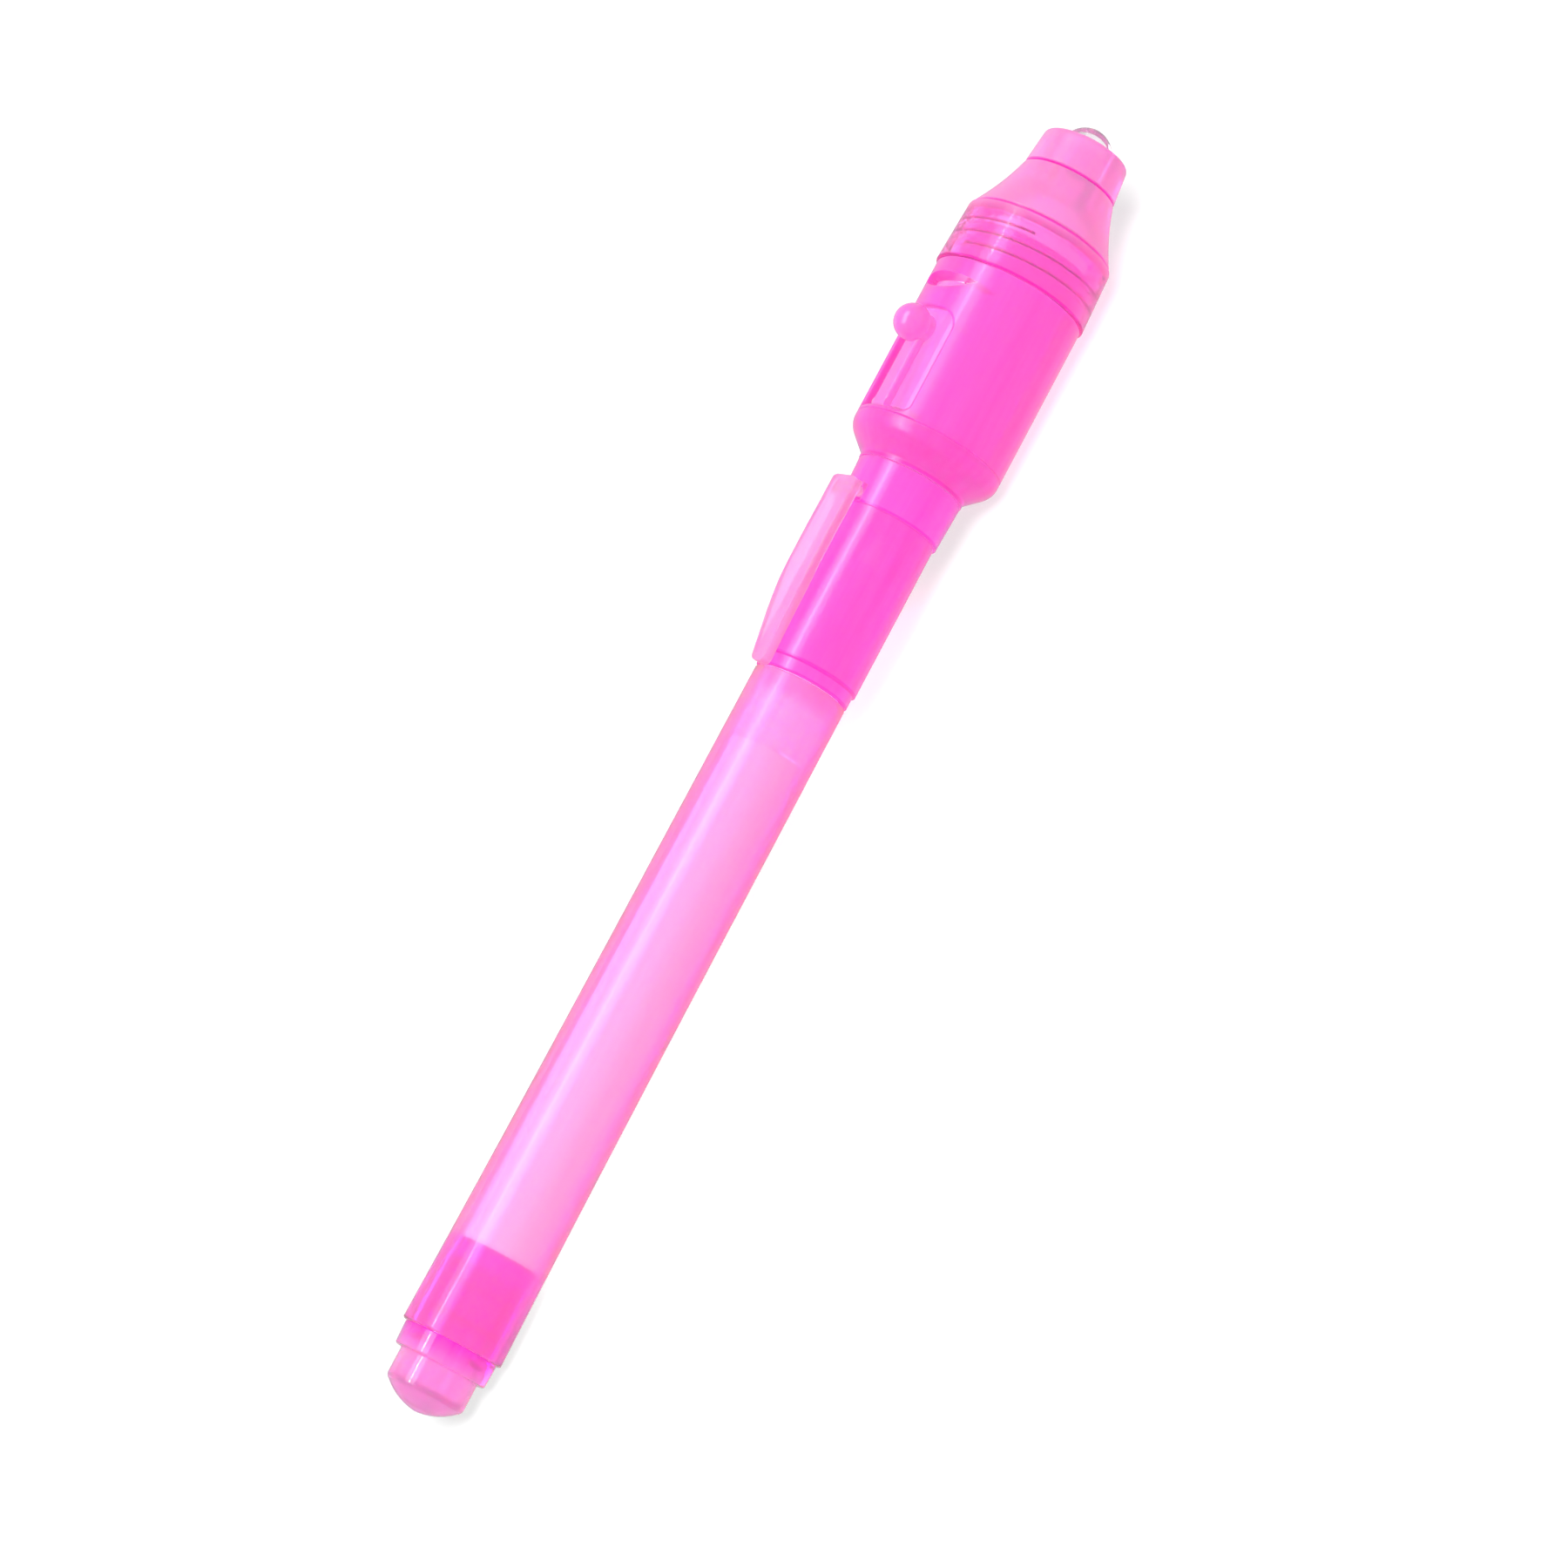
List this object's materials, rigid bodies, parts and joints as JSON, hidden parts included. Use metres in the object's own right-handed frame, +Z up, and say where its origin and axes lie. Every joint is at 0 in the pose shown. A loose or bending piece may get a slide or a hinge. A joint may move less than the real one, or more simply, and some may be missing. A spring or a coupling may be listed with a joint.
{
  "type": "uv invisible ink pen",
  "caption": "Translucent felt-tip ink pen with a pull-off cap that carries a pocket clip and a push-switch UV lamp under a screw-on nose cone",
  "frame": {"origin": "middle of the length, on the pen's plane of symmetry, at the lowest point of the nose cone's rim", "axes": "+X along the pen from the end plug to the lamp, +Z up through the clip and the switch"},
  "size_m": [0.1322, 0.015, 0.017],
  "materials": {
    "pink_clear": "clear tinted, moulded",
    "pink_frost": "frosted tinted, moulded",
    "felt": "pressed fibre",
    "fibre": "bonded fibre",
    "film": "thin film",
    "pale_plastic": "moulded",
    "cell_steel": "nickel plated",
    "gasket": "moulded",
    "spring_steel": "drawn wire",
    "contact_metal": "tinned strip",
    "lead_metal": "tinned",
    "epoxy": "clear cast"
  },
  "bodies": {
    "pen": {"barrel": "pink_clear", "nib_section": "pink_clear", "felt_nib": "felt", "ink_reservoir": "fibre", "reservoir_film": "film", "end_plug": "pink_clear"},
    "lamp_cap": {"lamp_housing": "pink_clear", "cap_tube": "pink_clear", "clip_collar": "pink_clear", "battery_holder": "pale_plastic", "button_cell_1": "cell_steel", "button_cell_2": "cell_steel", "button_cell_3": "cell_steel", "cell_caps": "cell_steel", "cell_gaskets": "gasket", "battery_spring": "spring_steel", "contact_strip": "contact_metal"},
    "switch_lever": {"switch_lever": "pink_clear"},
    "contact_leaf": {"contact_leaf": "contact_metal"},
    "pocket_clip": {"pocket_clip": "pink_clear"},
    "led_module": {"uv_led_lens": "epoxy", "led_anode_lead": "lead_metal", "led_cathode_lead": "lead_metal", "led_holder": "pale_plastic"},
    "nose": {"nose_cone": "pink_frost"}
  },
  "joints": [
    {"name": "cap_pull", "type": "slide", "parent": "pen", "child": "lamp_cap", "axis": [1, 0, 0], "range_m": [0, 0.035]},
    {"name": "led_lift", "type": "slide", "parent": "lamp_cap", "child": "led_module", "axis": [1, 0, 0], "range_m": [0, 0.00405]},
    {"name": "nose_turn", "type": "hinge", "parent": "led_module", "child": "nose", "pos_m": [0.05195, 0, 0.0075], "axis": [1, 0, 0], "range_deg": [0, 1080]},
    {"name": "switch_press", "type": "hinge", "parent": "lamp_cap", "child": "switch_lever", "pos_m": [0.03295, 0, 0.01395], "axis": [0, 1, 0], "range_deg": [0, 5], "stiffness_Nm_per_rad": 0.05},
    {"name": "leaf_flex", "type": "hinge", "parent": "lamp_cap", "child": "contact_leaf", "pos_m": [0.03285, 0, 0.01259], "axis": [0, 1, 0], "range_deg": [0, 5.2]},
    {"name": "clip_flex", "type": "hinge", "parent": "lamp_cap", "child": "pocket_clip", "pos_m": [0.02455, 0, 0.01302], "axis": [0, 1, 0], "range_deg": [0, 5], "stiffness_Nm_per_rad": 0.2}
  ],
  "couplings": [
    {"joint": "nose_turn", "follows": "led_lift", "rad_per_m": 4654.2},
    {"joint": "leaf_flex", "follows": "switch_press", "ratio": 1}
  ]
}
